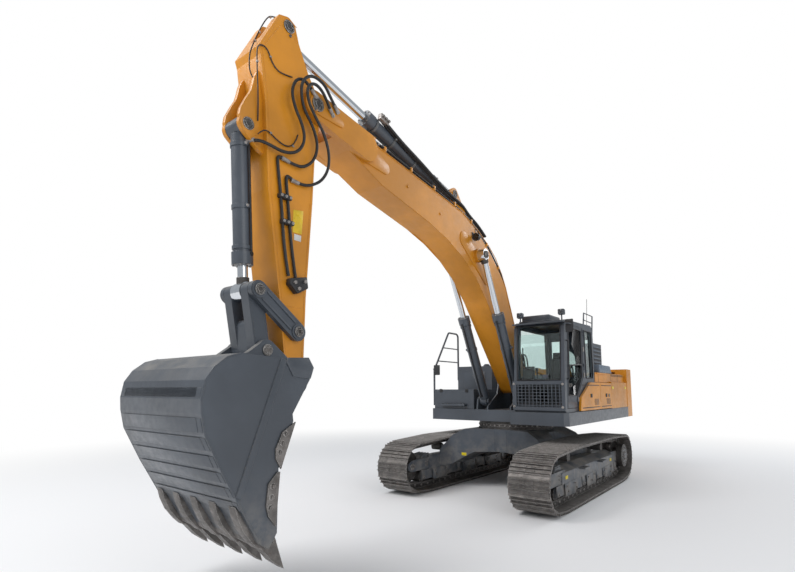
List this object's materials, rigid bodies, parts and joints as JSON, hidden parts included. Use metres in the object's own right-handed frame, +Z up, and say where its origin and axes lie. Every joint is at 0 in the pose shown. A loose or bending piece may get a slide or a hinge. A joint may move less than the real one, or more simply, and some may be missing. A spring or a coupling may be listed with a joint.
{
  "type": "crawler excavator",
  "caption": "Heavy crawler excavator: swinging house with glazed cab on steel shoe tracks, boom, arm and toothed bucket moved by hydraulic cylinders.",
  "frame": {"origin": "on the ground under the swing axis, midway between the tracks", "axes": "+X to the boom's side, +Y to the cab's side, +Z up"},
  "size_m": [10.6928, 3.2, 6.01],
  "materials": {
    "paint_yellow": "semi-gloss",
    "paint_grey": "semi-gloss",
    "steel": "worn",
    "chrome": "polished",
    "glass": "clear",
    "plastic": "textured",
    "rubber": "matt",
    "fabric": "woven"
  },
  "bodies": {
    "undercarriage": {"carbody": "paint_grey", "swing_bearing": "steel", "track_frame_left": "paint_grey", "track_frame_right": "paint_grey", "track_left": "steel", "track_right": "steel", "bottom_rollers": "steel", "carrier_rollers": "steel", "idlers": "steel", "sprockets": "steel"},
    "house": {"platform": "paint_grey", "boom_bracket": "paint_grey", "counterweight": "paint_yellow", "engine_block": "steel", "cab": "paint_grey", "cab_glass": "glass", "cab_guard": "paint_grey", "seat": "fabric", "console": "plastic", "house_left": "paint_yellow", "house_right": "paint_yellow", "tank": "paint_grey", "toolbox": "paint_grey", "air_box": "paint_grey", "handrail": "paint_grey"},
    "cab_door": {"cab_door": "paint_grey"},
    "side_door_front": {"side_door_front": "paint_yellow"},
    "side_door_rear": {"side_door_rear": "paint_yellow"},
    "hood": {"hood": "paint_yellow"},
    "toolbox_lid": {"toolbox_lid": "paint_grey"},
    "boom": {"boom": "paint_yellow"},
    "boom_cylinder_barrels": {"boom_cylinder_barrels": "paint_grey"},
    "boom_cylinder_rods": {"boom_cylinder_rods": "chrome"},
    "arm_cylinder_barrel": {"arm_cylinder_barrel": "paint_yellow"},
    "arm_cylinder_rod": {"arm_cylinder_rod": "chrome"},
    "arm": {"arm": "paint_yellow"},
    "bucket_cylinder_barrel": {"bucket_cylinder_barrel": "paint_yellow"},
    "bucket_cylinder_rod": {"bucket_cylinder_rod": "chrome"},
    "rockers": {"rockers": "paint_grey"},
    "link": {"link": "paint_grey"},
    "bucket": {"bucket": "paint_grey", "bucket_teeth": "steel"}
  },
  "joints": [
    {"name": "swing", "type": "hinge", "parent": "undercarriage", "child": "house", "pos_m": [0, 0, 1.28], "axis": [0, 0, 1], "continuous": true},
    {"name": "boom_lift", "type": "hinge", "parent": "house", "child": "boom", "pos_m": [0.05, 0, 2], "axis": [0, -1, 0], "range_deg": [-62, 32]},
    {"name": "arm_crowd", "type": "hinge", "parent": "boom", "child": "arm", "pos_m": [5.73, 0, 5.123], "axis": [0, 1, 0], "range_deg": [-75, 38]},
    {"name": "bucket_curl", "type": "hinge", "parent": "arm", "child": "bucket", "pos_m": [5.894, 0, 1.951], "axis": [0, 1, 0], "range_deg": [-15, 140]},
    {"name": "cab_door_hinge", "type": "hinge", "parent": "house", "child": "cab_door", "pos_m": [0.19, 1.45, 2.3], "axis": [0, 0, 1], "range_deg": [0, 140]},
    {"name": "side_door_front_hinge", "type": "hinge", "parent": "house", "child": "side_door_front", "pos_m": [-0.62, 1.492, 1.75], "axis": [0, 0, 1], "range_deg": [0, 100]},
    {"name": "side_door_rear_hinge", "type": "hinge", "parent": "house", "child": "side_door_rear", "pos_m": [-1.43, 1.492, 1.75], "axis": [0, 0, 1], "range_deg": [0, 100]},
    {"name": "hood_hinge", "type": "hinge", "parent": "house", "child": "hood", "pos_m": [-1.5, 0, 2.35], "axis": [0, 1, 0], "range_deg": [0, 60]},
    {"name": "toolbox_lid_hinge", "type": "hinge", "parent": "house", "child": "toolbox_lid", "pos_m": [-0.24, -1.025, 1.89], "axis": [0, -1, 0], "range_deg": [0, 80]},
    {"name": "boom_cylinder_tilt", "type": "hinge", "parent": "house", "child": "boom_cylinder_barrels", "pos_m": [0.6, 0, 1.67], "axis": [0, -1, 0], "range_deg": [-65.11, 33.61]},
    {"name": "boom_cylinder_stroke", "type": "slide", "parent": "boom_cylinder_barrels", "child": "boom_cylinder_rods", "axis": [0.4603, 0, 0.8877], "range_m": [-0.661, 0.346]},
    {"name": "arm_cylinder_tilt", "type": "hinge", "parent": "boom", "child": "arm_cylinder_barrel", "pos_m": [2.5, 0, 5.16], "axis": [0, 1, 0], "range_deg": [-7.1, 3.6]},
    {"name": "arm_cylinder_stroke", "type": "slide", "parent": "arm_cylinder_barrel", "child": "arm_cylinder_rod", "axis": [0.9793, 0, 0.2026], "range_m": [-0.9393, 0.4808]},
    {"name": "bucket_cylinder_tilt", "type": "hinge", "parent": "arm", "child": "bucket_cylinder_barrel", "pos_m": [6.527, 0, 4.587], "axis": [0, 1, 0], "range_deg": [-0.46, 4.23]},
    {"name": "bucket_cylinder_stroke", "type": "slide", "parent": "bucket_cylinder_barrel", "child": "bucket_cylinder_rod", "axis": [-0.0651, 0, -0.9979], "range_m": [-0.1197, 1.034]},
    {"name": "rocker_turn", "type": "hinge", "parent": "arm", "child": "rockers", "pos_m": [5.91, 0, 2.493], "axis": [0, 1, 0], "range_deg": [-11.6, 108.22]},
    {"name": "link_turn", "type": "hinge", "parent": "bucket", "child": "link", "pos_m": [6.306, 0, 2.272], "axis": [0, 1, 0], "range_deg": [-117.42, 12.59]}
  ],
  "couplings": [
    {"joint": "boom_cylinder_tilt", "follows": "boom_lift", "ratio": 1},
    {"joint": "boom_cylinder_stroke", "follows": "boom_lift", "m_per_rad": 0.57296},
    {"joint": "arm_cylinder_tilt", "follows": "arm_crowd", "ratio": 0.09},
    {"joint": "arm_cylinder_stroke", "follows": "arm_crowd", "m_per_rad": 0.67609},
    {"joint": "bucket_cylinder_tilt", "follows": "bucket_curl", "ratio": 0.0287},
    {"joint": "bucket_cylinder_stroke", "follows": "bucket_curl", "m_per_rad": 0.39912},
    {"joint": "rocker_turn", "follows": "bucket_curl", "ratio": 0.7361},
    {"joint": "link_turn", "follows": "bucket_curl", "ratio": -0.7987}
  ]
}
